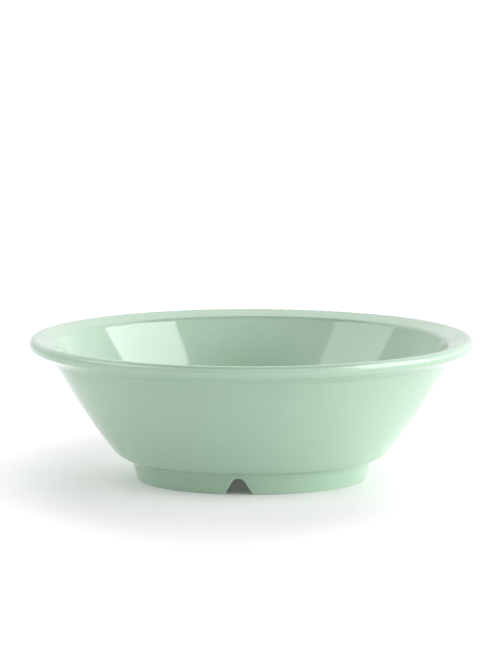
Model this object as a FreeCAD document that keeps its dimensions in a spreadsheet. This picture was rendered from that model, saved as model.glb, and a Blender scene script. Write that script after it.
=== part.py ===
"""One-piece moulded bowl with a sloping flange, a full-round lip and a notched foot ring.

Frame: +Z up, millimetres. The origin is the centre of the circle that the foot ring stands on, and one drain
notch faces -Y.
"""
import FreeCAD, Part

import math
import os

import Sketcher

from FreeCAD import Vector

# Driving dimensions in millimetres, with slopes in degrees from the horizontal.
# Every sketch and feature is bound to the sheet's cells of these names.
DIMENSIONS = {
    # overall size
    "bowl_radius": 90.0,
    "bowl_height": 57.6,
    # foot ring: its outside leans out as it rises, and its inside leans in
    "foot_base_radius": 46.2,
    "foot_top_radius": 48.75,
    "foot_height": 8.1,
    "foot_inner_radius": 42.4,
    "recess_radius": 41.8,
    "recess_height": 7.2,
    # outside of the wall: a knuckle arc above the foot, then one long arc
    "wall_start_slope": 10.0,
    "wall_lower_slope": 51.4,
    "knuckle_radius": 12.4,
    "wall_curve_radius": 248.0,
    # inside of the bowl
    "base_thickness": 3.4,
    "floor_radius": 42.5,
    "inner_knuckle_radius": 14.0,
    # flange and its full-round lip
    "lip_radius": 2.5,
    "underside_slope": 25.0,
    "flange_slope": 17.4,
    "flange_inner_radius": 79.7,
    # drain notches in the foot ring
    "notch_count": 3,
    "notch_width": 11.2,
    "notch_height": 6.8,
    "notch_top_radius": 2.9,
    "notch_cut_length": 60.0,
    "notch_overrun": 1.0,
    # rounded edges
    "foot_edge_round": 0.5,
    "recess_round": 1.5,
    "crease_round": 3.4,
    "under_flange_round": 1.7,
    "flange_inner_round": 2.2,
    "notch_edge_round": 0.5,
}
SHEET = "dimensions"
BODY = "bowl_body"

# Sketcher's numbers for its origin, its axes and the points of a line or an arc.
ROOT = -1
H_AXIS = -1
V_AXIS = -2
START = 1
END = 2
CENTRE = 3

# First guesses that the constraints correct: how far the long arcs turn, in degrees, and how wide the flange's
# underside is.
WALL_TURN = 10.5
UNDERSIDE_WIDTH = 8.0
# A point is on an edge when it is this close, in millimetres.
PICK_TOLERANCE = 0.01


def size(alias):
    """A driving dimension as a number, for an outline's first positions."""
    return DIMENSIONS[alias]


def amount(terms):
    """The value of a sum such as "bowl_radius - lip_radius"."""
    total = 0.0
    sign = 1
    for word in terms.split():
        if word in ("+", "-"):
            sign = 1 if word == "+" else -1
        else:
            total += sign * (size(word) if word in DIMENSIONS else float(word))
    return total


def bound(terms):
    """The same sum as an expression on the sheet's cells."""
    return " ".join(f"{SHEET}.{word}" if word in DIMENSIONS else word for word in terms.split())


def make_sheet(document):
    """The spreadsheet of driving dimensions, one to a row."""
    sheet = document.addObject("Spreadsheet::Sheet", SHEET)
    for row, (alias, value) in enumerate(DIMENSIONS.items(), start=1):
        sheet.set(f"A{row}", alias)
        sheet.set(f"B{row}", str(value))
        sheet.setAlias(f"B{row}", alias)
    document.recompute()


def origin_feature(body, role):
    """One of the body's own origin planes or axes, such as XZ_Plane or Z_Axis."""
    return next(feature for feature in body.Origin.OriginFeatures if feature.Role == role)


def make_sketch(body, name):
    """A sketch on the body's XZ plane. Its x runs along +X and its y is the height."""
    sketch = body.newObject("Sketcher::SketchObject", name)
    sketch.AttachmentSupport = [(origin_feature(body, "XZ_Plane"), "")]
    sketch.MapMode = "FlatFace"
    return sketch


def add_line(sketch, start, end, construction=False):
    return sketch.addGeometry(Part.LineSegment(start, end), construction)


def add_arc(sketch, centre, radius, from_degrees, to_degrees):
    """An arc drawn counter-clockwise between two directions from its centre."""
    circle = Part.Circle(centre, Vector(0, 0, 1), radius)
    arc = Part.ArcOfCircle(circle, math.radians(from_degrees), math.radians(to_degrees))
    return sketch.addGeometry(arc, False)


def on_circle(centre, radius, slope):
    """The point of a circle where its lower right side rises at this slope."""
    angle = math.radians(slope)
    return centre + Vector(math.sin(angle), -math.cos(angle), 0) * radius


def relate(sketch, kind, *elements):
    """A constraint with no size, such as Coincident or Tangent."""
    sketch.addConstraint(Sketcher.Constraint(kind, *elements))


def dimension(sketch, name, kind, *elements, by=None):
    """A constraint bound to the cell of its own name, or to the sum of cells that by states."""
    terms = by or name
    value = math.radians(amount(terms)) if kind == "Angle" else amount(terms)
    index = sketch.addConstraint(Sketcher.Constraint(kind, *elements, value))
    sketch.renameConstraint(index, name)
    sketch.setExpression(f"Constraints.{name}", bound(terms))


def draw_foot(sketch):
    """The recess under the base and the foot ring, from the axis out to the foot of the wall."""
    corners = [
        Vector(0, size("recess_height"), 0),
        Vector(size("recess_radius"), size("recess_height"), 0),
        Vector(size("foot_inner_radius"), 0, 0),
        Vector(size("foot_base_radius"), 0, 0),
        Vector(size("foot_top_radius"), size("foot_height"), 0),
    ]
    lines = [add_line(sketch, start, end) for start, end in zip(corners, corners[1:])]
    for before, after in zip(lines, lines[1:]):
        relate(sketch, "Coincident", before, END, after, START)
    recess, inner_side, base, outer_side = lines
    relate(sketch, "PointOnObject", recess, START, V_AXIS)
    relate(sketch, "Horizontal", recess)
    relate(sketch, "PointOnObject", base, START, H_AXIS)
    relate(sketch, "Horizontal", base)
    for name, kind, line in (
        ("recess_radius", "DistanceX", recess),
        ("recess_height", "DistanceY", recess),
        ("foot_inner_radius", "DistanceX", inner_side),
        ("foot_base_radius", "DistanceX", base),
        ("foot_top_radius", "DistanceX", outer_side),
        ("foot_height", "DistanceY", outer_side),
    ):
        dimension(sketch, name, kind, ROOT, START, line, END)
    return recess, base, outer_side


def draw_wall_outside(sketch, foot):
    """The knuckle arc that leaves the foot, and the long arc that it runs into."""
    start_slope = size("wall_start_slope")
    lower_slope = size("wall_lower_slope")
    foot_top = sketch.Geometry[foot].EndPoint
    knuckle_centre = on_circle(foot_top, -size("knuckle_radius"), start_slope)
    wall_start = on_circle(knuckle_centre, size("knuckle_radius"), lower_slope)
    wall_radius = size("wall_curve_radius")
    wall_centre = on_circle(wall_start, -wall_radius, lower_slope)
    knuckle = add_arc(sketch, knuckle_centre, size("knuckle_radius"), start_slope - 90, lower_slope - 90)
    wall = add_arc(sketch, wall_centre, wall_radius, lower_slope - 90, lower_slope - 90 + WALL_TURN)
    relate(sketch, "Coincident", foot, END, knuckle, START)
    relate(sketch, "Tangent", knuckle, END, wall, START)
    dimension(sketch, "knuckle_radius", "Radius", knuckle)
    dimension(sketch, "wall_curve_radius", "Radius", wall)
    for slope, point, position in (
        ("wall_start_slope", foot_top, START),
        ("wall_lower_slope", wall_start, END),
    ):
        spoke = add_line(sketch, knuckle_centre, point, construction=True)
        relate(sketch, "Coincident", spoke, START, knuckle, CENTRE)
        relate(sketch, "Coincident", spoke, END, knuckle, position)
        dimension(sketch, f"spoke_at_{slope}", "Angle", spoke, by=f"{slope} - 90")
    return wall


def draw_flange(sketch, wall):
    """The flange's underside, its full-round lip and its sloping top."""
    lip_radius = size("lip_radius")
    under_slope = size("underside_slope")
    top_slope = size("flange_slope")
    lip_centre = Vector(size("bowl_radius") - lip_radius, size("bowl_height") - lip_radius, 0)
    lip_start = on_circle(lip_centre, lip_radius, under_slope)
    lip_end = on_circle(lip_centre, -lip_radius, top_slope)
    width = lip_end.x - size("flange_inner_radius")
    inner_corner = lip_end - Vector(width, width * math.tan(math.radians(top_slope)), 0)
    underside_run = Vector(UNDERSIDE_WIDTH, UNDERSIDE_WIDTH * math.tan(math.radians(under_slope)), 0)
    underside = add_line(sketch, lip_start - underside_run, lip_start)
    lip = add_arc(sketch, lip_centre, lip_radius, under_slope - 90, top_slope + 90)
    top = add_line(sketch, inner_corner, lip_end)
    relate(sketch, "Coincident", wall, END, underside, START)
    relate(sketch, "Tangent", underside, END, lip, START)
    relate(sketch, "Tangent", lip, END, top, END)
    lip_middle = (ROOT, START, lip, CENTRE)
    dimension(sketch, "lip_radius", "Radius", lip)
    dimension(sketch, "lip_centre_radius", "DistanceX", *lip_middle, by="bowl_radius - lip_radius")
    dimension(sketch, "lip_centre_height", "DistanceY", *lip_middle, by="bowl_height - lip_radius")
    dimension(sketch, "underside_slope", "Angle", underside)
    dimension(sketch, "flange_slope", "Angle", top)
    dimension(sketch, "flange_inner_radius", "DistanceX", ROOT, START, top, START)
    return underside, top


def draw_inside(sketch, recess, flange_top):
    """The flat floor, a knuckle arc and the long arc up to the flange, then the axis that closes the outline."""
    knuckle_radius = size("inner_knuckle_radius")
    wall_radius = size("wall_curve_radius")
    lower_slope = size("wall_lower_slope")
    recess_centre = sketch.Geometry[recess].StartPoint
    floor_centre = recess_centre + Vector(0, size("base_thickness"), 0)
    floor_edge = floor_centre + Vector(size("floor_radius"), 0, 0)
    knuckle_centre = floor_edge + Vector(0, knuckle_radius, 0)
    wall_centre = on_circle(knuckle_centre, knuckle_radius - wall_radius, lower_slope)
    axis = add_line(sketch, recess_centre, floor_centre)
    floor = add_line(sketch, floor_centre, floor_edge)
    knuckle = add_arc(sketch, knuckle_centre, knuckle_radius, -90, lower_slope - 90)
    wall = add_arc(sketch, wall_centre, wall_radius, lower_slope - 90, lower_slope - 90 + WALL_TURN)
    relate(sketch, "Coincident", recess, START, axis, START)
    relate(sketch, "Vertical", axis)
    relate(sketch, "Coincident", axis, END, floor, START)
    relate(sketch, "Horizontal", floor)
    relate(sketch, "Tangent", floor, END, knuckle, START)
    relate(sketch, "Tangent", knuckle, END, wall, START)
    relate(sketch, "Coincident", wall, END, flange_top, START)
    dimension(sketch, "base_thickness", "Distance", axis)
    dimension(sketch, "floor_radius", "Distance", floor)
    dimension(sketch, "inner_knuckle_radius", "Radius", knuckle)
    dimension(sketch, "inner_wall_radius", "Radius", wall, by="wall_curve_radius")


def spin_shell(body):
    """Turns the bowl's half section about the Z axis. Also returns the corners to round, by the size's name."""
    sketch = make_sketch(body, "half_section")
    recess, foot_base, foot_side = draw_foot(sketch)
    wall = draw_wall_outside(sketch, foot_side)
    underside, flange_top = draw_flange(sketch, wall)
    draw_inside(sketch, recess, flange_top)
    shell = body.newObject("PartDesign::Revolution", "shell")
    shell.Profile = sketch
    shell.ReferenceAxis = (origin_feature(body, "Z_Axis"), [""])
    shell.Angle = 360
    body.Document.recompute()
    lines = sketch.Geometry
    corners = {
        "foot_edge_round": [lines[foot_base].StartPoint, lines[foot_base].EndPoint],
        "recess_round": [lines[recess].EndPoint],
        "crease_round": [lines[foot_side].EndPoint],
        "under_flange_round": [lines[underside].StartPoint],
        "flange_inner_round": [lines[flange_top].StartPoint],
    }
    return shell, corners


def round_edges(body, base, alias, edges):
    """A fillet of the size that alias names, on numbered edges of the feature base."""
    fillet = body.newObject("PartDesign::Fillet", alias)
    fillet.Base = (base, [f"Edge{number}" for number in edges])
    fillet.setExpression("Radius", bound(alias))
    body.Document.recompute()
    return fillet


def round_corners(body, shell, corners):
    """Rounds the circles that corners of the half section sweep."""
    base = shell
    for alias, places in corners.items():
        vertices = [Part.Vertex(-place.x, 0, place.y) for place in places]
        edges = [
            number
            for number, edge in enumerate(base.Shape.Edges, start=1)
            if any(edge.distToShape(vertex)[0] < PICK_TOLERANCE for vertex in vertices)
        ]
        base = round_edges(body, base, alias, edges)
    return base


def draw_notch(sketch):
    """A bell outline: a round top, sides that spread towards the foot, and a short straight run below it."""
    half_width = size("notch_width") / 2
    overrun = size("notch_overrun")
    top_radius = size("notch_top_radius")
    top_centre = Vector(0, size("notch_height") - top_radius, 0)
    right_foot = Vector(half_width, 0, 0)
    left_foot = Vector(-half_width, 0, 0)
    drop = Vector(0, -overrun, 0)
    top = add_arc(sketch, top_centre, top_radius, 40, 140)
    lines = [
        add_line(sketch, sketch.Geometry[top].EndPoint, left_foot),
        add_line(sketch, left_foot, left_foot + drop),
        add_line(sketch, left_foot + drop, right_foot + drop),
        add_line(sketch, right_foot + drop, right_foot),
        add_line(sketch, right_foot, sketch.Geometry[top].StartPoint),
    ]
    for before, after in zip(lines, lines[1:]):
        relate(sketch, "Coincident", before, END, after, START)
    left_side, left_drop, bottom, right_drop, right_side = lines
    relate(sketch, "Tangent", top, END, left_side, START)
    relate(sketch, "Tangent", right_side, END, top, START)
    relate(sketch, "PointOnObject", left_side, END, H_AXIS)
    relate(sketch, "PointOnObject", top, CENTRE, V_AXIS)
    relate(sketch, "Symmetric", left_side, END, right_side, START, ROOT, START)
    relate(sketch, "Vertical", left_drop)
    relate(sketch, "Vertical", right_drop)
    relate(sketch, "Horizontal", bottom)
    dimension(sketch, "notch_width", "Distance", bottom)
    dimension(sketch, "notch_overrun", "Distance", left_drop)
    dimension(sketch, "notch_top_radius", "Radius", top)
    top_middle = (ROOT, START, top, CENTRE)
    dimension(sketch, "notch_centre_height", "DistanceY", *top_middle, by="notch_height - notch_top_radius")


def cut_notches(body, base):
    """Cuts a notch through the foot ring towards -Y, and repeats it around the Z axis."""
    sketch = make_sketch(body, "notch_outline")
    draw_notch(sketch)
    notch = body.newObject("PartDesign::Pocket", "notch")
    notch.Profile = sketch
    notch.setExpression("Length", bound("notch_cut_length"))
    notch.Reversed = True
    body.Document.recompute()
    notches = body.newObject("PartDesign::PolarPattern", "notches")
    notches.Originals = [notch]
    notches.Axis = (origin_feature(body, "Z_Axis"), [""])
    notches.Angle = 360
    notches.setExpression("Occurrences", bound("notch_count"))
    body.Tip = notches
    body.Document.recompute()
    if notches.Shape.Volume >= notch.Shape.Volume or notch.Shape.Volume >= base.Shape.Volume:
        raise RuntimeError("a notch cut nothing")
    return notches


def is_notch_wall(face):
    """True for a notch's round top and its sides: the bowl's other flat faces are level, and none is a cylinder."""
    surface = face.Surface
    return isinstance(surface, Part.Cylinder) or (isinstance(surface, Part.Plane) and abs(surface.Axis.z) < 0.99)


def round_notches(body, notches):
    """Rounds each edge where a notch's wall meets the foot ring, and not where two notch walls meet."""
    shape = notches.Shape
    wall_edges = [edge for face in shape.Faces if is_notch_wall(face) for edge in face.Edges]
    rims = [
        number
        for number, edge in enumerate(shape.Edges, start=1)
        if sum(edge.isSame(wall_edge) for wall_edge in wall_edges) == 1
    ]
    return round_edges(body, notches, "notch_edge_round", rims)


def check(document, body):
    """Stops if an object failed, the bowl isn't one sound solid or no notch faces -Y."""
    failed = [thing.Label for thing in document.Objects if {"Invalid", "Error"} & set(thing.State)]
    if failed:
        raise RuntimeError(f"these objects failed: {failed}")
    shape = body.Shape
    if shape.isNull() or not shape.isValid() or len(shape.Solids) != 1:
        raise RuntimeError(f"{body.Label} isn't one valid solid")
    in_front_notch = Vector(0, -size("foot_inner_radius") - 1, size("notch_height") / 2)
    if shape.isInside(in_front_notch, PICK_TOLERANCE, True):
        raise RuntimeError("the front notch is closed")


def main():
    document = FreeCAD.newDocument("bowl")
    make_sheet(document)
    body = document.addObject("PartDesign::Body", BODY)
    shell, corners = spin_shell(body)
    rounded = round_corners(body, shell, corners)
    notches = cut_notches(body, rounded)
    body.Tip = round_notches(body, notches)
    document.recompute()
    check(document, body)
    os.makedirs("parts", exist_ok=True)
    body.Shape.exportStep(f"parts/{body.Label}.step")


main()
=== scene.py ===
"""Looks for the mint melamine bowl: camera, floor, soft studio light and a procedural material.

Everything is in metres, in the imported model's own frame: the bowl stands on Z = 0 with its axis on Z.
"""

import math

import bpy
from mathutils import Matrix, Vector

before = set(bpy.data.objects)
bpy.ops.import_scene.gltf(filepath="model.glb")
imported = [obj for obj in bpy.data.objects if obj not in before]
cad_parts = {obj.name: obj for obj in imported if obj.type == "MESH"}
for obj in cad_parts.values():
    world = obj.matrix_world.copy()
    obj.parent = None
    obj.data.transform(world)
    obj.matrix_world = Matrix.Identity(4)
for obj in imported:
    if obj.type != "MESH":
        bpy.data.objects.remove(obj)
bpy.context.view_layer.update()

# Camera: a long lens, a little above the rim.
VIEW_TURN = math.radians(6.4)
CAMERA_DISTANCE = 3.6
CAMERA_ELEVATION = math.radians(8.103)
CAMERA_PITCH = math.radians(7.579)
CAMERA_YAW = math.radians(0.010)
AIM_HEIGHT = 0.02925
LENS = 492.4
SENSOR = 36.0

# Floor: a round white sheet with painted light: it glows a little even under the bowl, and more with the
# distance from the bowl, mostly sideways, which paints the fade of the bowl's shadow.
FLOOR_RADIUS = 7.0
FLOOR_SIDES = 64
FLOOR_WHITE = (0.912, 0.888, 0.905, 1.0)
PAINTED_GLOW_START = 0.05
PAINTED_GLOW_END = 0.10
PAINTED_GLOW_SHIFT = 0.015
PAINTED_GLOW_SQUEEZE = 0.35
PAINTED_GLOW_NEAR = 0.062
PAINTED_GLOW_FAR = 0.29

# Heights on the unit sphere of directions where the studio's bands blend into each other.
HORIZON_BAND = (0.12, 0.34)
LOW_BAND = (0.40, 0.60)
TOP_BAND = (0.75, 0.90)

# Headings in the studio, as seen from the camera.
QUARTERS = {
    "front": Vector((0.0, -1.0, 0.0)),
    "back": Vector((0.0, 1.0, 0.0)),
    "left": Vector((-1.0, 0.0, 0.0)),
    "right": Vector((1.0, 0.0, 0.0)),
}

# Soft panels: the headings of the two sides, in degrees from the camera, and their heights.
KEY_AZIMUTH = 83.25
FILL_AZIMUTH = -85.0
PANEL_BOTTOM = 0.03
PANEL_SPLIT = 0.70
PANEL_TOP = 2.30

# Colours (linear) and the gloss of the moulded skin.
MINT = (0.397, 0.574, 0.434, 1.0)
MINT_DEEP = (0.383, 0.560, 0.420, 1.0)
MINT_PALE = (0.419, 0.591, 0.455, 1.0)
GROUND_PALE = (0.55, 0.67, 0.58, 1.0)
SKIN_ROUGHNESS = 0.055
MELAMINE_IOR = 1.65

# The bowl's heights and radii that its finish follows, and how far the wear reaches past the inner floor.
GROUND_FOOT_HEIGHT = 0.0004
LIP_MIDDLE_HEIGHT = 0.0551
LIP_INNER_RADIUS = 0.089
FLASH_HALF_WIDTH = 0.0003
INNER_FLOOR_HEIGHT = 0.0106
INNER_FLOOR_RADIUS = 0.050
WEAR_FADE = 0.012
UNDER_FLOOR = 0.0012


def studio(local):
    """A place given as seen from the camera's side, turned to the model's frame."""
    return Matrix.Rotation(VIEW_TURN, 4, "Z") @ local


def add_camera():
    """The camera looks along the studio's +Y, pitched down at the bowl."""
    place = Matrix.Translation((
        0.0,
        -CAMERA_DISTANCE * math.cos(CAMERA_ELEVATION),
        AIM_HEIGHT + CAMERA_DISTANCE * math.sin(CAMERA_ELEVATION),
    ))
    turn = Matrix.Rotation(CAMERA_YAW, 4, "Z") @ Matrix.Rotation(math.pi / 2 - CAMERA_PITCH, 4, "X")
    data = bpy.data.cameras.new("camera")
    data.lens = LENS
    data.sensor_width = SENSOR
    data.clip_start = 0.1
    data.clip_end = 50.0
    camera = bpy.data.objects.new("camera", data)
    camera.matrix_world = studio(place @ turn)
    bpy.context.scene.collection.objects.link(camera)
    bpy.context.scene.camera = camera


def add_panel(name, azimuth, distance, width, bottom, top, radiance, only_glossy=False):
    """A soft panel light that stands upright and faces the bowl."""
    turn = math.radians(azimuth)
    centre = Vector((math.sin(turn) * distance, -math.cos(turn) * distance, (bottom + top) / 2))
    aim = Vector((-centre.x, -centre.y, 0.0)).to_track_quat("-Z", "Y").to_matrix().to_4x4()
    data = bpy.data.lights.new(name, "AREA")
    data.shape = "RECTANGLE"
    data.size = width
    data.size_y = top - bottom
    data.energy = math.pi * radiance * width * (top - bottom)
    panel = bpy.data.objects.new(name, data)
    panel.matrix_world = studio(Matrix.Translation(centre) @ aim)
    panel.visible_camera = False
    panel.visible_diffuse = not only_glossy
    bpy.context.scene.collection.objects.link(panel)


def add_node(tree, kind, **settings):
    """A shader node with its properties set."""
    node = tree.nodes.new(kind)
    for name, value in settings.items():
        setattr(node, name, value)
    return node


def calculate(tree, operation, first, second=0.0):
    """A Math node. Each input is a socket or a number, and some operations need only the first."""
    node = add_node(tree, "ShaderNodeMath", operation=operation)
    for socket, value in zip(node.inputs, (first, second)):
        if isinstance(value, bpy.types.NodeSocket):
            tree.links.new(value, socket)
        else:
            socket.default_value = value
    return node.outputs["Value"]


def remap(tree, source, low, high, to_low, to_high):
    """A smooth step of the source from one range to another."""
    node = add_node(tree, "ShaderNodeMapRange", interpolation_type="SMOOTHSTEP")
    tree.links.new(source, node.inputs["Value"])
    for name, value in (("From Min", low), ("From Max", high), ("To Min", to_low), ("To Max", to_high)):
        node.inputs[name].default_value = value
    return node.outputs["Result"]


def quarters(tree, heading, strengths):
    """Brightness that varies with a level heading. The shares of the four quarters add up to 1."""
    total = 0.0
    for towards, strength in strengths.items():
        dot = add_node(tree, "ShaderNodeVectorMath", operation="DOT_PRODUCT")
        tree.links.new(heading, dot.inputs[0])
        dot.inputs[1].default_value = studio(Matrix.Identity(4)) @ QUARTERS[towards]
        ahead = calculate(tree, "MAXIMUM", dot.outputs["Value"], 0.0)
        share = calculate(tree, "MULTIPLY", ahead, ahead)
        total = calculate(tree, "ADD", calculate(tree, "MULTIPLY", share, strength), total)
    return total


def add_world(horizon, low, middle, above):
    """A studio whose brightness varies with height, and in its two lower bands with the heading too."""
    world = bpy.data.worlds.new("studio")
    world.use_nodes = True
    tree = world.node_tree
    direction = add_node(tree, "ShaderNodeTexCoord").outputs["Generated"]
    flatten = add_node(tree, "ShaderNodeVectorMath", operation="MULTIPLY")
    tree.links.new(direction, flatten.inputs[0])
    flatten.inputs[1].default_value = (1.0, 1.0, 0.0)
    level = add_node(tree, "ShaderNodeVectorMath", operation="NORMALIZE")
    tree.links.new(flatten.outputs["Vector"], level.inputs[0])
    heading = level.outputs["Vector"]
    split = add_node(tree, "ShaderNodeSeparateXYZ")
    tree.links.new(direction, split.inputs["Vector"])
    height = split.outputs["Z"]

    at_horizon = remap(tree, height, *HORIZON_BAND, 1.0, 0.0)
    below_middle = remap(tree, height, *LOW_BAND, 1.0, 0.0)
    between = calculate(tree, "MULTIPLY", below_middle, calculate(tree, "SUBTRACT", 1.0, at_horizon))
    upper = calculate(tree, "SUBTRACT", 1.0, below_middle)
    top_light = remap(tree, height, *TOP_BAND, middle, above)

    total = calculate(tree, "MULTIPLY", upper, top_light)
    for share, strengths in ((between, low), (at_horizon, horizon)):
        light = calculate(tree, "MULTIPLY", share, quarters(tree, heading, strengths))
        total = calculate(tree, "ADD", total, light)
    tree.links.new(total, tree.nodes["Background"].inputs["Strength"])
    tree.nodes["Background"].inputs["Color"].default_value = (1.0, 1.0, 1.0, 1.0)
    bpy.context.scene.world = world


def add_floor():
    """A round white floor with painted light: it glows a little, and more so away from the bowl at both
    sides, which paints the fade of the bowl's shadow.
    """
    mesh = bpy.data.meshes.new("floor")
    turns = [2 * math.pi * i / FLOOR_SIDES for i in range(FLOOR_SIDES)]
    ring = [(FLOOR_RADIUS * math.cos(turn), FLOOR_RADIUS * math.sin(turn), 0.0) for turn in turns]
    mesh.from_pydata(ring, [], [list(range(FLOOR_SIDES))])
    floor = bpy.data.objects.new("floor", mesh)
    floor.matrix_world = studio(Matrix.Identity(4))
    material = bpy.data.materials.new("floor_white_painted_glow")
    material.use_nodes = True
    tree = material.node_tree
    shader = tree.nodes["Principled BSDF"]
    shader.inputs["Base Color"].default_value = FLOOR_WHITE
    shader.inputs["Roughness"].default_value = 0.9
    shader.inputs["Specular IOR Level"].default_value = 0.1
    # Painted light: the floor's emission, weak near the bowl and stronger away from it at both sides,
    # paints how the bowl's shadow fades.
    shader.inputs["Emission Color"].default_value = (1.0, 1.0, 1.0, 1.0)
    place = add_node(tree, "ShaderNodeTexCoord").outputs["Object"]
    shift = add_node(tree, "ShaderNodeVectorMath", operation="ADD")
    tree.links.new(place, shift.inputs[0])
    shift.inputs[1].default_value = (PAINTED_GLOW_SHIFT, 0.0, 0.0)
    squeeze = add_node(tree, "ShaderNodeVectorMath", operation="MULTIPLY")
    tree.links.new(shift.outputs["Vector"], squeeze.inputs[0])
    squeeze.inputs[1].default_value = (1.0, PAINTED_GLOW_SQUEEZE, 0.0)
    sideways = add_node(tree, "ShaderNodeVectorMath", operation="LENGTH")
    tree.links.new(squeeze.outputs["Vector"], sideways.inputs[0])
    painted_glow = remap(tree, sideways.outputs["Value"], PAINTED_GLOW_START, PAINTED_GLOW_END, PAINTED_GLOW_NEAR, PAINTED_GLOW_FAR)
    tree.links.new(painted_glow, shader.inputs["Emission Strength"])
    mesh.materials.append(material)
    bpy.context.scene.collection.objects.link(floor)


def noise(tree, place, scale, detail=2.0, stretch=(1.0, 1.0, 1.0)):
    """Noise of about 1 / scale metres, stretched along an axis where its factor is under 1."""
    mapping = add_node(tree, "ShaderNodeMapping")
    mapping.inputs["Scale"].default_value = stretch
    tree.links.new(place, mapping.inputs["Vector"])
    node = add_node(tree, "ShaderNodeTexNoise")
    node.inputs["Scale"].default_value = scale
    node.inputs["Detail"].default_value = detail
    tree.links.new(mapping.outputs["Vector"], node.inputs["Vector"])
    return node.outputs["Fac"]


def blend(tree, amount, first, second):
    """Mixes two colours. Each is a socket or a colour."""
    node = add_node(tree, "ShaderNodeMix", data_type="RGBA")
    tree.links.new(amount, node.inputs["Factor"])
    for name, value in (("A", first), ("B", second)):
        socket = next(s for s in node.inputs if s.name == name and s.type == "RGBA")
        if isinstance(value, bpy.types.NodeSocket):
            tree.links.new(value, socket)
        else:
            socket.default_value = value
    return next(s for s in node.outputs if s.type == "RGBA")


def bump(tree, height, distance, strength, below=None):
    """A bump of the height's whole range, distance metres deep, on top of the one below."""
    node = add_node(tree, "ShaderNodeBump")
    node.inputs["Distance"].default_value = distance
    node.inputs["Strength"].default_value = strength
    tree.links.new(height, node.inputs["Height"])
    if below:
        tree.links.new(below, node.inputs["Normal"])
    return node.outputs["Normal"]


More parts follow.
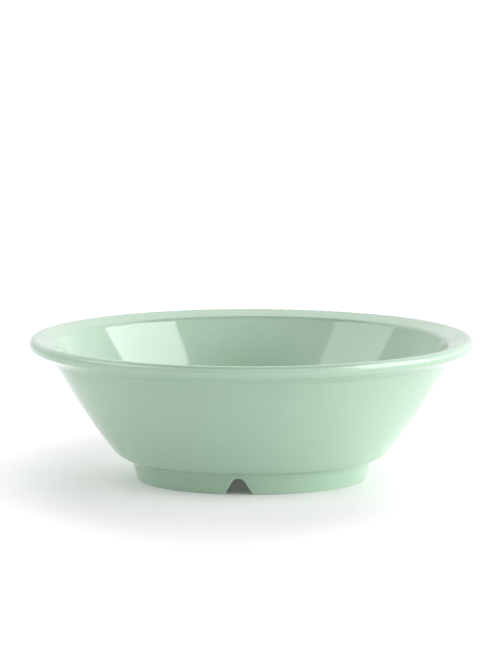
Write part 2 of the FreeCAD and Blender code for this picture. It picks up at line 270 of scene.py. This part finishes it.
def melamine():
    """Glossy mint melamine: faint mottling, moulded skin, light wear, a ground foot and a flash line."""
    material = bpy.data.materials.new("mint_melamine")
    material.use_nodes = True
    tree = material.node_tree
    shader = tree.nodes["Principled BSDF"]
    place = add_node(tree, "ShaderNodeTexCoord").outputs["Object"]
    split = add_node(tree, "ShaderNodeSeparateXYZ")
    tree.links.new(place, split.inputs["Vector"])
    height = split.outputs["Z"]
    across = calculate(tree, "MULTIPLY", split.outputs["X"], split.outputs["X"])
    along = calculate(tree, "MULTIPLY", split.outputs["Y"], split.outputs["Y"])
    radius = calculate(tree, "SQRT", calculate(tree, "ADD", across, along))

    # Where the finish differs: the ground underside of the foot, the trimmed flash line and the used floor.
    ground = remap(tree, height, 0.5 * GROUND_FOOT_HEIGHT, GROUND_FOOT_HEIGHT, 1.0, 0.0)
    off_line = calculate(tree, "ABSOLUTE", calculate(tree, "SUBTRACT", height, LIP_MIDDLE_HEIGHT))
    near_line = remap(tree, off_line, 0.5 * FLASH_HALF_WIDTH, FLASH_HALF_WIDTH, 1.0, 0.0)
    on_lip = remap(tree, radius, LIP_INNER_RADIUS, LIP_INNER_RADIUS + FLASH_HALF_WIDTH, 0.0, 1.0)
    flash = calculate(tree, "MULTIPLY", near_line, on_lip)
    low_inside = remap(tree, radius, INNER_FLOOR_RADIUS, INNER_FLOOR_RADIUS + WEAR_FADE, 1.0, 0.0)
    under_floor = INNER_FLOOR_HEIGHT - UNDER_FLOOR
    above_floor = remap(tree, height, under_floor, under_floor + UNDER_FLOOR / 2, 0.0, 1.0)
    used = calculate(tree, "MULTIPLY", low_inside, above_floor)

    # Colour: broad clouding, fine pulp mottling and a few paler specks.
    clouding = remap(tree, noise(tree, place, 24.0), 0.35, 0.65, 0.0, 1.0)
    mottling = remap(tree, noise(tree, place, 420.0, 4.0), 0.3, 0.7, 0.0, 1.0)
    specks = remap(tree, noise(tree, place, 1500.0, 1.0), 0.70, 0.76, 0.0, 0.35)
    base = blend(tree, clouding, MINT_DEEP, MINT)
    base = blend(tree, calculate(tree, "MULTIPLY", mottling, 0.35), base, MINT_PALE)
    base = blend(tree, specks, base, MINT_PALE)
    base = blend(tree, calculate(tree, "MULTIPLY", ground, 0.5), base, GROUND_PALE)
    tree.links.new(base, shader.inputs["Base Color"])

    # Roughness: the press-polished skin, duller patches, and fine scratches where spoons and whisks rub.
    patches = remap(tree, noise(tree, place, 60.0, 3.0), 0.3, 0.7, 0.0, 0.03)
    first_strokes = noise(tree, place, 900.0, 2.0, (1.0, 0.03, 1.0))
    second_strokes = noise(tree, place, 900.0, 2.0, (0.04, 1.0, 1.0))
    strokes = calculate(tree, "MAXIMUM", first_strokes, second_strokes)
    scratches = remap(tree, strokes, 0.64, 0.70, 0.0, 1.0)
    scratched = calculate(tree, "MULTIPLY", scratches, used)
    rough = calculate(tree, "ADD", patches, SKIN_ROUGHNESS)
    rough = calculate(tree, "ADD", rough, calculate(tree, "MULTIPLY", scratched, 0.16))
    rough = calculate(tree, "ADD", rough, calculate(tree, "MULTIPLY", flash, 0.12))
    rough = calculate(tree, "ADD", rough, calculate(tree, "MULTIPLY", ground, 0.42))
    tree.links.new(rough, shader.inputs["Roughness"])

    # Relief: a very slight orange peel, a fine grain, and the scratches' depth.
    normal = bump(tree, noise(tree, place, 160.0, 1.0), 0.00002, 0.35)
    normal = bump(tree, noise(tree, place, 2200.0, 2.0), 0.000002, 0.3, normal)
    normal = bump(tree, scratched, -0.000003, 0.6, normal)
    tree.links.new(normal, shader.inputs["Normal"])

    shader.inputs["IOR"].default_value = MELAMINE_IOR
    return material


def dress(node, material):
    """Puts the material on every slot of a node."""
    slots = node.material_slots
    if not slots:
        node.data.materials.append(material)
    for slot in slots:
        slot.material = material


bpy.context.scene.view_settings.view_transform = "Standard"
add_camera()
add_world(
    horizon={"front": 0.0, "back": 1.04, "left": 0.38, "right": 3.40},
    low={"front": 0.0, "back": 1.37, "left": 1.32, "right": 2.07},
    middle=1.47,
    above=0.10,
)
add_panel("key", KEY_AZIMUTH, 1.60, 1.54, PANEL_SPLIT, PANEL_TOP, radiance=0.18)
add_panel("key_low", KEY_AZIMUTH, 1.60, 1.54, PANEL_BOTTOM, PANEL_SPLIT, radiance=2.38)
add_panel("key_gloss", KEY_AZIMUTH, 1.59, 1.53, PANEL_SPLIT, PANEL_TOP, radiance=3.73, only_glossy=True)
add_panel("fill_gloss", FILL_AZIMUTH, 1.59, 1.28, PANEL_SPLIT, PANEL_TOP, radiance=1.59, only_glossy=True)
add_floor()
dress(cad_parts["bowl_body"], melamine())
